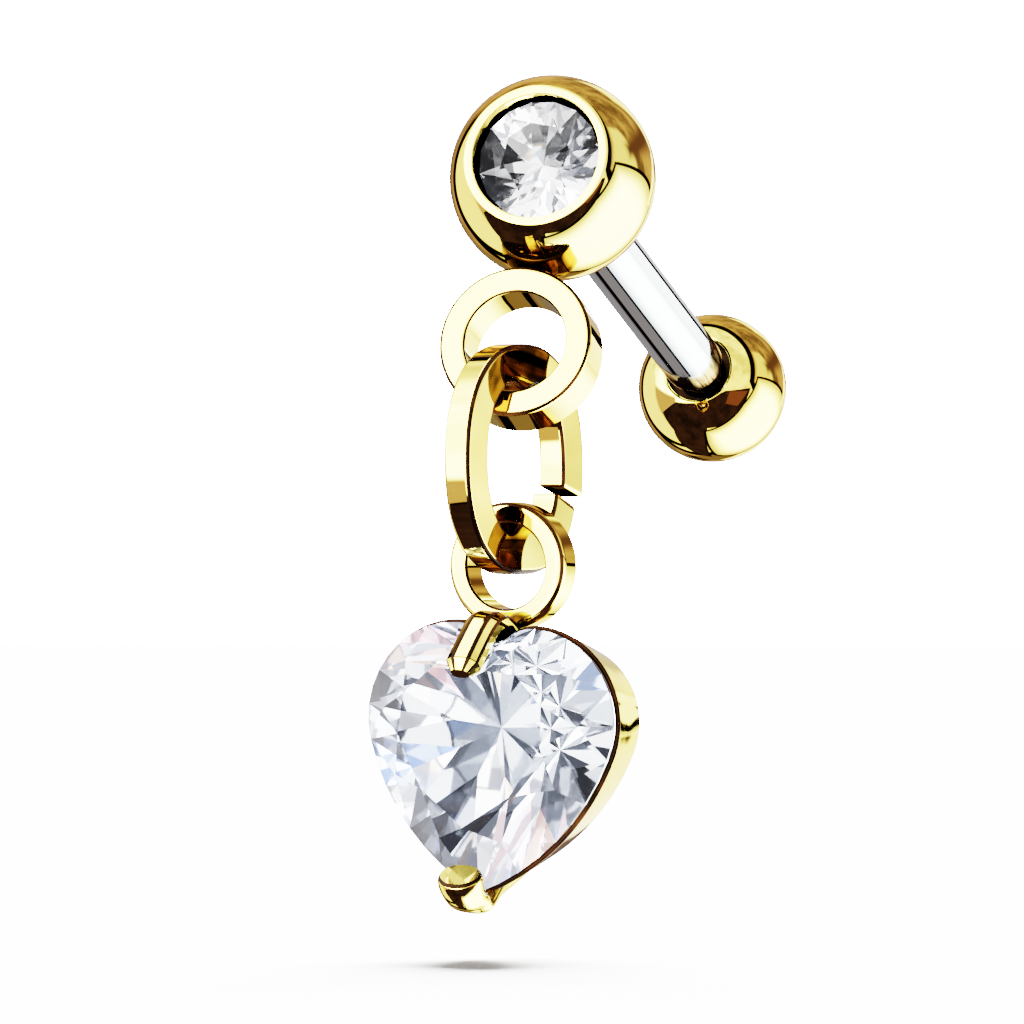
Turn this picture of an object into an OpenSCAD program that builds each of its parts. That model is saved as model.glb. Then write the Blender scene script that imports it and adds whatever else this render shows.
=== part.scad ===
// Cartilage barbell with a gem ball and a hanging heart drop, in millimetres.
// The origin is the middle of the stretch of post that sits in the ear.
// +Z is up as worn, and the post lies in the Y-Z plane with the gem end towards -Y and raised.

/* [Bar] */
// Clear length of post between the two balls
bar_len = 10; // [6:0.5:16]
// Diameter of the post, 16 gauge
post_d = 1.2; // [1:0.1:1.6]
// How far the gem end stands above level, in degrees
bar_pitch = 17; // [0:1:30]
// Diameter of the neck turned on each end of the post
neck_d = 0.88; // [0.7:0.02:0.88]
// Bare neck that shows between the post's shoulder and the back ball
neck_gap = 0.35; // [0.1:0.05:0.6]

/* [Balls] */
// Diameter of the gem ball
gem_ball_d = 4; // [3.6:0.1:5]
// Diameter of the threaded back ball
back_ball_d = 3; // [2.5:0.1:4]
// Diameter of the mouth of the back ball's socket
socket_d = 1.32; // [1.25:0.01:1.5]
// How far the back ball draws off along the post
back_ball_travel = 12; // [8:1:20]

/* [Gem seat] */
// Diameter of the seat's opening
seat_d = 2.5; // [2.2:0.05:2.6]
// Outer diameter of the bright rim round the opening
rim_d = 2.82; // [2.7:0.02:3]
// Depth of the round stone's girdle below the rim
girdle_drop = 0.36; // [0.3:0.02:0.45]
// Diameter of the round stone
gem_d = 2.4; // [2:0.05:2.44]

/* [Loop on the gem ball] */
// Outer diameter of the loop
loop_od = 3; // [2.8:0.1:3.2]
// Inner diameter of the loop
loop_id = 2; // [1.9:0.05:2.2]
// Width of the loop along the post
loop_w = 1.1; // [0.9:0.05:1.15]
// Roll of the loop about the post, away from straight down
loop_roll = -6; // [-10:1:10]

/* [Jump link] */
// Outer width of the oval link
link_w = 3.7; // [3.5:0.02:3.8]
// Outer height of the oval link
link_h = 4.44; // [4.4:0.02:4.7]
// Thickness of the link's wire across the oval
link_t = 0.68; // [0.5:0.02:0.72]
// Thickness of the link's wire through the link
link_b = 0.6; // [0.4:0.02:0.62]
// Turn of the link's plane from the post's upright plane
link_turn = -22; // [-26:0.5:-16]

/* [Heart drop] */
// Outer diameter of the ring soldered on the setting
ring_od = 2.46; // [2.4:0.02:2.6]
// Inner diameter of that ring
ring_id = 1.66; // [1.6:0.02:1.8]
// Width of that ring through its hole
ring_w = 0.7; // [0.6:0.02:0.8]
// Turn of the heart's face from the post's direction
heart_turn = -11; // [-20:1:0]
// Lean of the heart in its own plane
heart_lean = 4.5; // [0:0.5:6]
// Depth of the setting's band
band_depth = 1.7; // [1.2:0.1:2]
// Wall of the band
band_wall = 0.25; // [0.2:0.01:0.35]

/* [Hidden] */
$fn = 64;
eps = 0.01;
post_r = post_d / 2;
neck_r = neck_d / 2;
gem_ball_r = gem_ball_d / 2;
back_ball_r = back_ball_d / 2;
// Places along the bar's own axis, which runs from the back ball to the gem ball
gem_ball_at = bar_len / 2 + gem_ball_r;
back_ball_at = -(bar_len / 2 + back_ball_r);
rim_at = gem_ball_at + sqrt(gem_ball_r * gem_ball_r - rim_d * rim_d / 4);
socket_at = back_ball_at + sqrt(back_ball_r * back_ball_r - socket_d * socket_d / 4);
shoulder_at = socket_at + neck_gap;
// Fits of the pieces that aren't soldered
post_play = 0.02;
neck_play = 0.03;
post_sunk = 1.3;
neck_sunk = 1.6;

// Turns a shape whose +Z is the bar's axis, gem end up, into the worn frame
module on_bar() {
    rotate([90 - bar_pitch, 0, 0])
        children();
}

// A ring of rectangular section with bevelled edges, round Z and centred on it
module flat_ring(outer_r, inner_r, width, bevel_out, bevel_in) {
    h = width / 2;
    rotate_extrude($fn = 96)
        polygon([
            [inner_r, -h + bevel_in], [inner_r + bevel_in, -h],
            [outer_r - bevel_out, -h], [outer_r, -h + bevel_out],
            [outer_r, h - bevel_out], [outer_r - bevel_out, h],
            [inner_r + bevel_in, h], [inner_r, h - bevel_in]
        ]);
}

// Gem ball: the front ball with its stone seat, its post hole and the loop soldered below it
loop_drop = gem_ball_r + loop_od / 2 - 0.01;
loop_bevel = 0.06;
solder_r = 0.32;
seat_floor_r = 0.25;
seat_depth = 1.5;
module gem_ball() {
    color("goldenrod")
    on_bar() {
        difference() {
            translate([0, 0, gem_ball_at])
                sphere(gem_ball_r, $fn = 96);
            translate([0, 0, rim_at])
                cylinder(h = gem_ball_r, r = gem_ball_r);
            translate([0, 0, rim_at - girdle_drop - 0.05])
                cylinder(h = gem_ball_r, d = seat_d);
            translate([0, 0, rim_at - seat_depth])
                cylinder(h = seat_depth - girdle_drop - 0.05 + eps, r1 = seat_floor_r, d2 = seat_d);
            translate([0, 0, gem_ball_at - gem_ball_r - eps])
                cylinder(h = post_sunk + eps, r = neck_r + post_play);
        }
        rotate([0, 0, loop_roll]) {
            translate([0, -loop_drop, gem_ball_at])
                flat_ring(loop_od / 2, loop_id / 2, loop_w, loop_bevel, loop_bevel);
            // the bead of solder that joins ball and loop
            translate([0, -(gem_ball_r - 0.3), gem_ball_at])
                rotate([90, 0, 0])
                    cylinder(h = 0.55, r = solder_r, $fn = 32);
        }
    }
}

// Point at a radius and an angle in degrees
function polar(r, a) = [r * cos(a), r * sin(a)];

// Round stone: a brilliant of 8 mains, its girdle in the plane Z = 0 and its table up
gem_table = 0.56;
gem_crown = 0.33;
gem_pavilion = 0.98;
gem_girdle = 0.03;
star_reach = 0.80;
lower_reach = 0.22;
gem_turn = 12;
module round_brilliant(r) {
    n = 8;
    step = 360 / n;
    crown_slope = gem_crown / (1 - gem_table);
    table = [for (i = [0 : n - 1]) [each polar(r * gem_table, i * step), gem_crown]];
    star = [for (i = [0 : n - 1])
        [each polar(r * star_reach, (i + 0.5) * step), crown_slope * (1 - star_reach * cos(step / 2))]];
    upper = [for (i = [0 : 2 * n - 1]) [each polar(r, i * step / 2), gem_girdle]];
    under = [for (i = [0 : 2 * n - 1]) [each polar(r, i * step / 2), -gem_girdle]];
    lower_z = -gem_girdle - gem_pavilion * (1 - lower_reach * cos(step / 2));
    lower = [for (i = [0 : n - 1]) [each polar(r * lower_reach, (i + 0.5) * step), lower_z]];
    culet = [[0, 0, -gem_girdle - gem_pavilion]];
    s = n;
    u = 2 * n;
    d = 4 * n;
    l = 6 * n;
    c = 7 * n;
    polyhedron(
        points = concat(table, star, upper, under, lower, culet),
        faces = concat(
            [[for (i = [n - 1 : -1 : 0]) i]],
            [for (i = [0 : n - 1]) [i, (i + 1) % n, s + i]],
            [for (i = [0 : n - 1]) [i, s + i, u + 2 * i]],
            [for (i = [0 : n - 1]) [i, u + 2 * i, s + (i + n - 1) % n]],
            [for (i = [0 : n - 1]) [s + i, u + 2 * i + 1, u + 2 * i]],
            [for (i = [0 : n - 1]) [s + i, u + (2 * i + 2) % (2 * n), u + 2 * i + 1]],
            [for (i = [0 : 2 * n - 1]) [u + i, u + (i + 1) % (2 * n), d + (i + 1) % (2 * n), d + i]],
            [for (i = [0 : n - 1]) [l + i, d + 2 * i, d + 2 * i + 1]],
            [for (i = [0 : n - 1]) [l + i, d + 2 * i + 1, d + (2 * i + 2) % (2 * n)]],
            [for (i = [0 : n - 1]) [c, d + 2 * i, l + i]],
            [for (i = [0 : n - 1]) [c, l + (i + n - 1) % n, d + 2 * i]]
        ));
}

module gem_stone() {
    color("aliceblue")
    on_bar()
        translate([0, 0, rim_at - girdle_drop])
            rotate([0, 0, gem_turn])
                round_brilliant(gem_d / 2);
}

// Post: steel rod with a neck pressed in the gem ball, and a bevelled shoulder and a neck for the back ball
post_bevel = 0.05;
module post() {
    front = gem_ball_at - gem_ball_r + post_sunk - 0.05;
    front_shoulder_at = gem_ball_at - sqrt(gem_ball_r * gem_ball_r - neck_r * neck_r) - 0.02;
    back = socket_at - neck_sunk;
    color("silver")
    on_bar()
        rotate_extrude()
            polygon([
                [0, back], [neck_r - post_bevel, back], [neck_r, back + post_bevel],
                [neck_r, shoulder_at], [post_r - post_bevel, shoulder_at],
                [post_r, shoulder_at + post_bevel],
                [post_r, front_shoulder_at], [neck_r, front_shoulder_at],
                [neck_r, front - post_bevel], [neck_r - post_bevel, front], [0, front]
            ]);
}

// Back ball: plain ball with a countersunk socket and a bore for the neck
socket_depth = 0.45;
socket_chamfer = 0.07;
module back_ball() {
    color("goldenrod")
    on_bar()
        difference() {
            translate([0, 0, back_ball_at])
                sphere(back_ball_r, $fn = 96);
            translate([0, 0, socket_at - neck_sunk - 0.1])
                cylinder(h = neck_sunk + back_ball_r, r = neck_r + neck_play);
            translate([0, 0, socket_at - socket_depth])
                cylinder(h = back_ball_r, d = socket_d);
            translate([0, 0, socket_at - socket_chamfer])
                cylinder(h = 2 * socket_chamfer, r1 = socket_d / 2, r2 = socket_d / 2 + 2 * socket_chamfer);
        }
}

// Faces that skin a closed tube made of rings of points, with both ends capped
function tube_faces(rings, sides) = concat(
    [[for (j = [sides - 1 : -1 : 0]) j]],
    [for (i = [0 : rings - 2]) for (j = [0 : sides - 1])
        let (k = (j + 1) % sides)
            [i * sides + j, i * sides + k, (i + 1) * sides + k, (i + 1) * sides + j]],
    [[for (j = [0 : sides - 1]) (rings - 1) * sides + j]]);

// Jump link: square wire bent to an oval, cut once on its rear arm and closed
// Angles run round the oval from its bottom, and the cut lies at the angle link_cut
link_at = [-0.424, -8.101, -3.39];
link_power = 2.3;
link_cut = 71;
link_cut_gap = 2.6;
link_spring = 0.13;
link_bevel = 0.06;
link_rings = 84;
function signed_pow(v, e) = sign(v) * pow(abs(v), e);
function oval(a, w, h) =
    [w / 2 * signed_pow(sin(a), 2 / link_power), -h / 2 * signed_pow(cos(a), 2 / link_power)];
module jump_link() {
    section = [
        [0, -link_b / 2 + link_bevel], [link_bevel, -link_b / 2],
        [link_t - link_bevel, -link_b / 2], [link_t, -link_b / 2 + link_bevel],
        [link_t, link_b / 2 - link_bevel], [link_t - link_bevel, link_b / 2],
        [link_bevel, link_b / 2], [0, link_b / 2 - link_bevel]
    ];
    points = [for (i = [0 : link_rings - 1])
        let (t = i / (link_rings - 1))
        let (a = link_cut + link_cut_gap + t * (360 - 2 * link_cut_gap))
        // the two ends stand a little out of line, as a closed ring springs
        let (out = link_spring / 2 * (pow(2 * t - 1, 5)))
        for (p = section)
            let (q = oval(a, link_w - 2 * p[0], link_h - 2 * p[0]))
                [q[0], p[1] + out, q[1]]];
    color("goldenrod")
    translate(link_at)
        rotate([0, 0, 90 + link_turn])
            polyhedron(points = points, faces = tube_faces(link_rings, len(section)));
}

// Heart drop: the band, the two prongs and the hanging ring, soldered as one
// In the heart's own frame X is its width, Y its height and Z the way its face looks
heart_at = [-0.68, -8.61, -8.4];
ring_at = [-0.08, 2.96, -0.55];
ring_bevel = 0.15;
module in_heart() {
    translate(heart_at)
        rotate([90, 0, heart_turn])
            rotate([0, 0, -heart_lean])
                children();
}

// Half outline of the heart, from the cleft round the lobe to the tip, moved out by w
lobe_x = 0.80;
lobe_r = 1.82;
cleft_r = 0.85;
cleft_fillet = 0.15;
side_r = 4.59;
tip_y = -3.33;
cleft_lobe_y = lobe_r - cleft_r;
cleft_y = cleft_lobe_y + sqrt(pow(cleft_r + cleft_fillet, 2) - lobe_x * lobe_x);
cleft_a = atan2(cleft_y - cleft_lobe_y, -lobe_x);
tip_d = sqrt(lobe_x * lobe_x + tip_y * tip_y);
side_along = (pow(side_r - lobe_r, 2) - side_r * side_r + tip_d * tip_d) / (2 * tip_d);
side_off = sqrt(pow(side_r - lobe_r, 2) - side_along * side_along);
side_x = lobe_x + (-lobe_x * side_along + tip_y * side_off) / tip_d;
side_y = (tip_y * side_along + lobe_x * side_off) / tip_d;
side_a = atan2(-side_y, lobe_x - side_x);
function arc(cx, cy, r, a0, a1, n, from = 0) = [for (i = [from : n])
    let (a = a0 + (a1 - a0) * i / n)
        [cx + r * cos(a), cy + r * sin(a)]];
function heart_half(w) = concat(
    arc(0, cleft_y, cleft_fillet - w, -90, cleft_a - 180, 3),
    arc(lobe_x, cleft_lobe_y, cleft_r + w, cleft_a, 90, 3, 1),
    arc(lobe_x, 0, lobe_r + w, 90, side_a, 10, 1),
    arc(side_x, side_y, side_r + w, side_a, -acos(-side_x / (side_r + w)), 8, 1));
function heart(w) = let (h = heart_half(w)) let (n = len(h))
    concat(h, [for (i = [n - 2 : -1 : 1]) [-h[i][0], h[i][1]]]);

// Band section as pairs of outline offset and height, round from the front edge
band_taper = 0.3;
seat_bevel = 0.52;
band_lip = 0.06;
module band() {
    section = [
        [band_lip, -0.03], [band_lip - 0.03, 0], [-0.03, 0],
        [-band_wall - 0.03, -seat_bevel],
        [-band_taper - band_wall, -band_depth], [-band_taper - 0.03, -band_depth],
        [-band_taper, -band_depth + 0.03]
    ];
    k = len(section);
    n = len(heart(0));
    points = [for (s = section) for (p = heart(s[0])) [p[0], p[1], s[1]]];
    faces = [for (i = [0 : k - 1]) for (j = [0 : n - 1])
        [i * n + j, i * n + (j + 1) % n, ((i + 1) % k) * n + (j + 1) % n, ((i + 1) % k) * n + j]];
    polyhedron(points = points, faces = faces);
}

// A bar swept along a path in the Y-Z plane
// Its rows are place, way the bar's top looks, half width and half height
module claw(path, corner) {
    sides = 8;
    points = [for (s = path)
        let (up = [cos(s[2]), sin(s[2])])
        for (q = [[1, -corner], [corner, -1], [-corner, -1], [-1, -corner],
                  [-1, corner], [-corner, 1], [corner, 1], [1, corner]])
            [q[0] * s[3], s[0] + up[0] * q[1] * s[4], s[1] + up[1] * q[1] * s[4]]];
    polyhedron(points = points, faces = tube_faces(len(path), sides));
}

// Columns of both prongs: height Y, depth Z, angle of the top in degrees, half width, half height
top_prong = [
    [1.42, -0.90, 4, 0.30, 0.20],
    [1.78, -0.20, 4, 0.33, 0.18],
    [1.92, 0.12, 14, 0.34, 0.17],
    [1.88, 0.44, 30, 0.34, 0.21],
    [1.70, 0.72, 46, 0.34, 0.23],
    [1.24, 1.18, 46, 0.34, 0.23],
    [1.00, 1.40, 46, 0.33, 0.22],
    [0.90, 1.49, 46, 0.27, 0.16]
];
bottom_prong = [
    [-2.82, -1.66, 0, 0.28, 0.22],
    [-3.03, -1.00, 0, 0.31, 0.27],
    [-3.23, -0.40, 2, 0.34, 0.31],
    [-3.54, 0.02, 0, 0.36, 0.18],
    [-3.55, 0.20, -4, 0.37, 0.17],
    [-3.44, 0.43, -12, 0.38, 0.28],
    [-3.34, 0.76, -34, 0.39, 0.33],
    [-3.14, 0.98, -66, 0.40, 0.33],
    [-2.90, 1.02, -84, 0.34, 0.27],
    [-2.76, 1.02, -86, 0.20, 0.15]
];
module heart_setting() {
    color("goldenrod")
    in_heart() {
        band();
        translate([ring_at[0], 0, 0])
            claw(top_prong, 0.5);
        claw(bottom_prong, 0.55);
        translate(ring_at)
            flat_ring(ring_od / 2, ring_id / 2, ring_w, ring_bevel, 0.05);
    }
}

// Heart stone: a brilliant of 12 mains. Each girdle stretch between two mains has 4 short sides.
heart_girdle = 0.05;
heart_crown = 0.9;
heart_pavilion = 2.15;
heart_rise = 0.1;
heart_table = 0.60;
heart_star = 0.80;
heart_lower = 0.26;
culet_y = -0.15;
function toward(p, k) = [p[0] * k, culet_y + (p[1] - culet_y) * k];
module heart_cut() {
    rim = heart(0);
    n = len(rim);
    m = n / 4;
    top = heart_girdle + heart_crown;
    table = [for (i = [0 : m - 1]) [each toward(rim[4 * i], heart_table), top]];
    star_z = heart_girdle + heart_crown * 0.56;
    star = [for (i = [0 : m - 1]) [each toward(rim[4 * i + 2], heart_star), star_z]];
    upper = [for (p = rim) [p[0], p[1], heart_girdle]];
    under = [for (p = rim) [p[0], p[1], 0]];
    lower = [for (i = [0 : m - 1]) [each toward(rim[4 * i + 2], heart_lower), -heart_pavilion * 0.77]];
    s = m;
    u = 2 * m;
    d = u + n;
    l = d + n;
    c = l + m;
    polyhedron(
        points = concat(table, star, upper, under, lower, [[0, culet_y, -heart_pavilion]]),
        faces = concat(
            [[for (i = [0 : m - 1]) (i + m / 2) % m]],
            [for (i = [0 : m - 1]) [i, s + i, (i + 1) % m]],
            [for (i = [0 : m - 1]) [i, u + 4 * i, s + i]],
            [for (i = [0 : m - 1]) [i, s + (i + m - 1) % m, u + 4 * i]],
            [for (i = [0 : m - 1]) for (j = [0 : 3]) [s + i, u + 4 * i + j, u + (4 * i + j + 1) % n]],
            [for (i = [0 : n - 1]) [u + i, d + i, d + (i + 1) % n, u + (i + 1) % n]],
            [for (i = [0 : m - 1]) for (j = [0 : 3]) [l + i, d + (4 * i + j + 1) % n, d + 4 * i + j]],
            [for (i = [0 : m - 1]) [c, l + i, d + 4 * i]],
            [for (i = [0 : m - 1]) [c, d + 4 * i, l + (i + m - 1) % m]]
        ));
}
module heart_stone() {
    color("aliceblue")
    in_heart()
        translate([0, 0, heart_rise])
            heart_cut();
}

gem_ball();
gem_stone();
post();
back_ball();
jump_link();
heart_setting();
heart_stone();
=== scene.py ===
import math

import bpy
import numpy as np
from mathutils import Matrix, Vector


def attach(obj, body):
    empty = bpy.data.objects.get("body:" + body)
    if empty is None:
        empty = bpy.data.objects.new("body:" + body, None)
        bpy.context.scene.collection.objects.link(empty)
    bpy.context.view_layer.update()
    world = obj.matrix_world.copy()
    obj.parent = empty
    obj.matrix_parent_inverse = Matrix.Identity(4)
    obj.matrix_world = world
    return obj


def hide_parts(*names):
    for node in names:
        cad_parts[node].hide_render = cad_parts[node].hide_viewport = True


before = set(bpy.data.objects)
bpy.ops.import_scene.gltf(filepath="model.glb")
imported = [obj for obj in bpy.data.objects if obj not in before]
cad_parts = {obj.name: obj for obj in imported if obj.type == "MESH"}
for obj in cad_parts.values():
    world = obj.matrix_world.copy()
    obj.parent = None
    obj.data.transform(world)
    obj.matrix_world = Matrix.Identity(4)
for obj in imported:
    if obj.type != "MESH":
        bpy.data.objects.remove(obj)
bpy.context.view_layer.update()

# Camera: a long lens level with the jewel and a little to the right of the post's line.
# Everything below is worked out in millimetres and turned to metres when its mesh is made.
metres = 0.001
view_azimuth = math.radians(14.655)
camera_right, camera_up, camera_away = -2.4834, -4.4061, 275
to_right = Vector((math.cos(view_azimuth), math.sin(view_azimuth), 0))
to_camera = Vector((math.sin(view_azimuth), -math.cos(view_azimuth), 0))
straight_up = Vector((0, 0, 1))
camera_data = bpy.data.cameras.new("studio_camera")
camera_data.sensor_width = 36
camera_data.lens = 488.4
camera = bpy.data.objects.new("studio_camera", camera_data)
bpy.context.scene.collection.objects.link(camera)
camera.location = (to_right * camera_right + straight_up * camera_up + to_camera * camera_away) * metres
camera.rotation_mode = "QUATERNION"
camera.rotation_quaternion = (-to_camera).to_track_quat("-Z", "Y")
camera_data.clip_start = 0.01
camera_data.clip_end = 5
bpy.context.scene.camera = camera
bpy.context.scene.view_settings.view_transform = "Filmic"
bpy.context.scene.view_settings.look = "High Contrast"

# Studio: the cloth tent, panels, lamps and dark gaps round a jeweller's shooting table.
# It is one world shader. Each panel is a patch of sky with straight edges, given by the bearings
# of its corners: degrees round to the right from the camera, and degrees up.
world = bpy.data.worlds.new("light_tent")
bpy.context.scene.world = world
world.use_nodes = True
sky = world.node_tree
sky.nodes.clear()


def bearing(azimuth, elevation):
    """The way to a point of the sky."""
    a, e = math.radians(azimuth), math.radians(elevation)
    return (to_right * math.sin(a) * math.cos(e) + to_camera * math.cos(a) * math.cos(e)
            + straight_up * math.sin(e)).normalized()


def joined(tree, kind, *inputs, **settings):
    """A new node, with its inputs linked or set in their order, and None for one left alone."""
    node = tree.nodes.new(kind)
    for key, value in settings.items():
        setattr(node, key, value)
    for place, value in enumerate(inputs):
        if value is None:
            continue
        if isinstance(value, bpy.types.NodeSocket):
            tree.links.new(value, node.inputs[place])
        else:
            node.inputs[place].default_value = value
    return node


look = joined(sky, "ShaderNodeTexCoord").outputs["Generated"]


def sky_math(operation, *inputs):
    return joined(sky, "ShaderNodeMath", *inputs, operation=operation).outputs[0]


def along(direction):
    dot = joined(sky, "ShaderNodeVectorMath", look, tuple(direction), operation="DOT_PRODUCT")
    return dot.outputs["Value"]


def ramped(value, low, high, start=0.0, end=1.0):
    """Rises softly from the start to the end, as the value goes from low to high."""
    return joined(sky, "ShaderNodeMapRange", value, low, high, start, end,
                  interpolation_type="SMOOTHSTEP").outputs[0]


def patch(corners):
    """How far inside a patch of sky the look direction is, from its nearest edge."""
    points = [bearing(*corner) for corner in corners]
    middle = sum(points, Vector((0, 0, 0)))
    inside = None
    for first, second in zip(points, points[1:] + points[:1]):
        edge = first.cross(second).normalized()
        if edge.dot(middle) < 0:
            edge = -edge
        distance = along(edge)
        inside = distance if inside is None else sky_math("MINIMUM", inside, distance)
    return inside


def blended(tree, factor, first, second, blend="MIX"):
    """Two colours mixed, each one a socket or three numbers."""
    node = tree.nodes.new("ShaderNodeMix")
    node.data_type = "RGBA"
    node.blend_type = blend
    for place, value in ((0, factor), (6, first), (7, second)):
        if isinstance(value, bpy.types.NodeSocket):
            tree.links.new(value, node.inputs[place])
        elif place:
            node.inputs[place].default_value = (*value, 1)
        else:
            node.inputs[place].default_value = value
    return node.outputs[2]


def lit(tint, level):
    """A tint at a brightness that may vary over the sky."""
    return joined(sky, "ShaderNodeVectorMath", tint, None, None, level, operation="SCALE").outputs[0]


def laid_over(below, depth, colour, gap=0.0, blur=0.008):
    """Lays a patch over the sky, with a black gap all round it."""
    if gap:
        below = blended(sky, ramped(depth, -gap - blur, -gap + blur), below, (0.001, 0.0006, 0.0003))
    return blended(sky, ramped(depth, -blur, blur), below, colour)


def with_panels(light, panels):
    """Lays flat panels over the sky. A panel is its corners, its colour and how soft its edge is."""
    for corners, colour, blur in panels:
        light = laid_over(light, patch(corners), colour, blur=blur)
    return light


# tent front: brightest ahead on the left, with soft folds in its cloth
folds = joined(sky, "ShaderNodeTexNoise", look, None, 3.2, 2.0, 0.5).outputs["Fac"]
front = ramped(along(bearing(-52, 12)), 0.5, 0.92, 2.4, 14.0)
front = sky_math("MULTIPLY", front, ramped(folds, 0.35, 0.65, 0.6, 1.25))
light = lit((1, 1, 1), front)
# back of the tent, dull behind a dark seam, with streaks of shade
stretched = joined(sky, "ShaderNodeVectorMath", look, (1.0, 1.0, 0.45), operation="MULTIPLY").outputs[0]
streaks = joined(sky, "ShaderNodeTexNoise", stretched, None, 3.4, 5.0, 0.62).outputs["Fac"]
back_depth = patch([(61, -4), (73, 27), (95, 51), (130, 64), (-172, 62), (-146, 25),
                    (-146, -55), (120, -60), (62, -30)])
back_shade = lit((1.0, 0.71, 0.74), ramped(streaks, 0.36, 0.64, 0.20, 0.85))
light = laid_over(light, back_depth, back_shade, gap=0.15, blur=0.02)
# its pale right end, which stops short of the seam
right_end = patch([(56, -4), (60, 50), (104, 36), (112, -4)])
right_end = sky_math("MINIMUM", sky_math("SUBTRACT", back_depth, 0.04), right_end)
light = laid_over(light, right_end, (1.7, 1.6, 1.5), blur=0.04)
black = (0.001, 0.001, 0.001)
light = with_panels(light, [
    # dark bar across the back
    ([(100, 25), (158, 18), (160, 7), (100, 15)], (0.15, 0.09, 0.12), 0.08),
    # lamp high up behind
    ([(-150, 58), (-85, 52), (-60, 66), (-140, 80)], (9.0, 9.0, 9.0), 0.03),
    # three pale cards at the back
    ([(154, 30), (171, 30), (169, 10), (155, 5)], (3.0, 2.9, 2.6), 0.05),
    ([(158, 6), (170, 10), (179, 6), (179, -1), (166, -1), (160, 3)], (0.9, 0.8, 0.8), 0.02),
    ([(151, -6), (158, 1), (167, 0), (174, -10), (178, -44), (158, -44)], (3.2, 3.1, 2.8), 0.02),
    # dull strips far back, which the post mirrors along its left side
    ([(177, 4), (-160, 6), (-158, -30), (-178, -21)], (0.27, 0.24, 0.24), 0.03),
    ([(178, -26), (-168, -34), (-176, -50), (168, -50), (163, -32)], (0.26, 0.21, 0.20), 0.01),
    ([(-178, -24), (-166, -29), (-170, -36), (179, -28)], black, 0.008),
    # left panel, with the dark slot behind it and a dull card before it
    ([(-149, 24), (-138, 24), (-138, -52), (-148, -55)], (0.003, 0.002, 0.001), 0.02),
    ([(-139, 24), (-103, 10), (-101, -44), (-137, -56)], (2.3, 2.2, 2.2), 0.02),
    ([(-103, 4), (-62, -12), (-62, -34), (-101, -34)], (0.8, 0.6, 0.7), 0.04)])
# table edge: near black, running on behind the jewel, with a dull corner
table_shade = lit((1.0, 0.62, 1.1), ramped(streaks, 0.35, 0.65, 0.02, 0.06))
table = patch([(20, -6), (62, -1), (70, -12), (52, -40), (22, -62), (-24, -72), (-30, -26)])
for part in ([(-97, -27), (-62, -20), (-26, -25), (-18, -62), (-45, -79), (-116, -62)],
             [(-178, -47), (-132, -51), (-95, -44), (-60, -60), (-40, -76), (-110, -82), (-165, -72)]):
    table = sky_math("MAXIMUM", table, patch(part))
light = laid_over(light, table, table_shade, gap=0.025)
dull_corner = patch([(26, -5), (56, -4), (42, -26), (21, -24)])
light = laid_over(light, dull_corner, (0.24, 0.11, 0.14), blur=0.02)
# big soft box, low on the right
box_depth = patch([(66, 13), (152, -7), (173, -52), (-140, -84), (-24, -70),
                   (20, -50), (44, -34), (61, -2)])
box_light = lit((1, 1, 1), ramped(box_depth, 0.01, 0.34, 1.7, 14.0))
light = laid_over(light, box_depth, box_light, gap=0.05)
# its near corner, cut by two seams of its cloth
light = with_panels(light, [
    ([(140, -9), (146, 3), (153, 8), (159, 6), (151, -7)], (3.8, 3.8, 3.8), 0.008),
    ([(149.3, -5), (159.5, 6.8), (161, 6), (150.8, -6.2)], black, 0.004),
    ([(154.9, 4.1), (160.6, 6.4), (161.8, 3.4), (155.3, 1.2)], black, 0.004)])

rays = joined(sky, "ShaderNodeLightPath")
# a cut stone gathers light from all over the room, so it shows only broad pale and dull parts of it
room = joined(sky, "ShaderNodeTexNoise", look, None, 1.7, 1.0, 0.4).outputs["Fac"]
glint = joined(sky, "ShaderNodeValToRGB", room)
glint.color_ramp.elements[0].position = 0.32
glint.color_ramp.elements[0].color = (1.6, 1.75, 2.1, 1)
glint.color_ramp.elements[1].position = 0.44
glint.color_ramp.elements[1].color = (6.5, 6.9, 7.8, 1)
for position, level in ((0.52, 24.0), (0.64, 60.0)):
    glint.color_ramp.elements.new(position).color = (level, level, level, 1)
mirrored_room = blended(sky, rays.outputs["Is Transmission Ray"], light, glint.outputs[0])
mirrored_room = joined(sky, "ShaderNodeBackground", mirrored_room, 1.0).outputs[0]
white_backdrop = joined(sky, "ShaderNodeBackground", (1, 1, 1, 1), 30.0).outputs[0]
bounced_light = joined(sky, "ShaderNodeBackground", (1, 1, 1, 1), 0.3).outputs[0]
seen = joined(sky, "ShaderNodeMixShader", rays.outputs["Is Diffuse Ray"], mirrored_room, bounced_light)
seen = joined(sky, "ShaderNodeMixShader", rays.outputs["Is Camera Ray"], seen.outputs[0], white_backdrop)
joined(sky, "ShaderNodeOutputWorld", seen.outputs[0])
world.cycles.sampling_method = "NONE"

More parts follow.
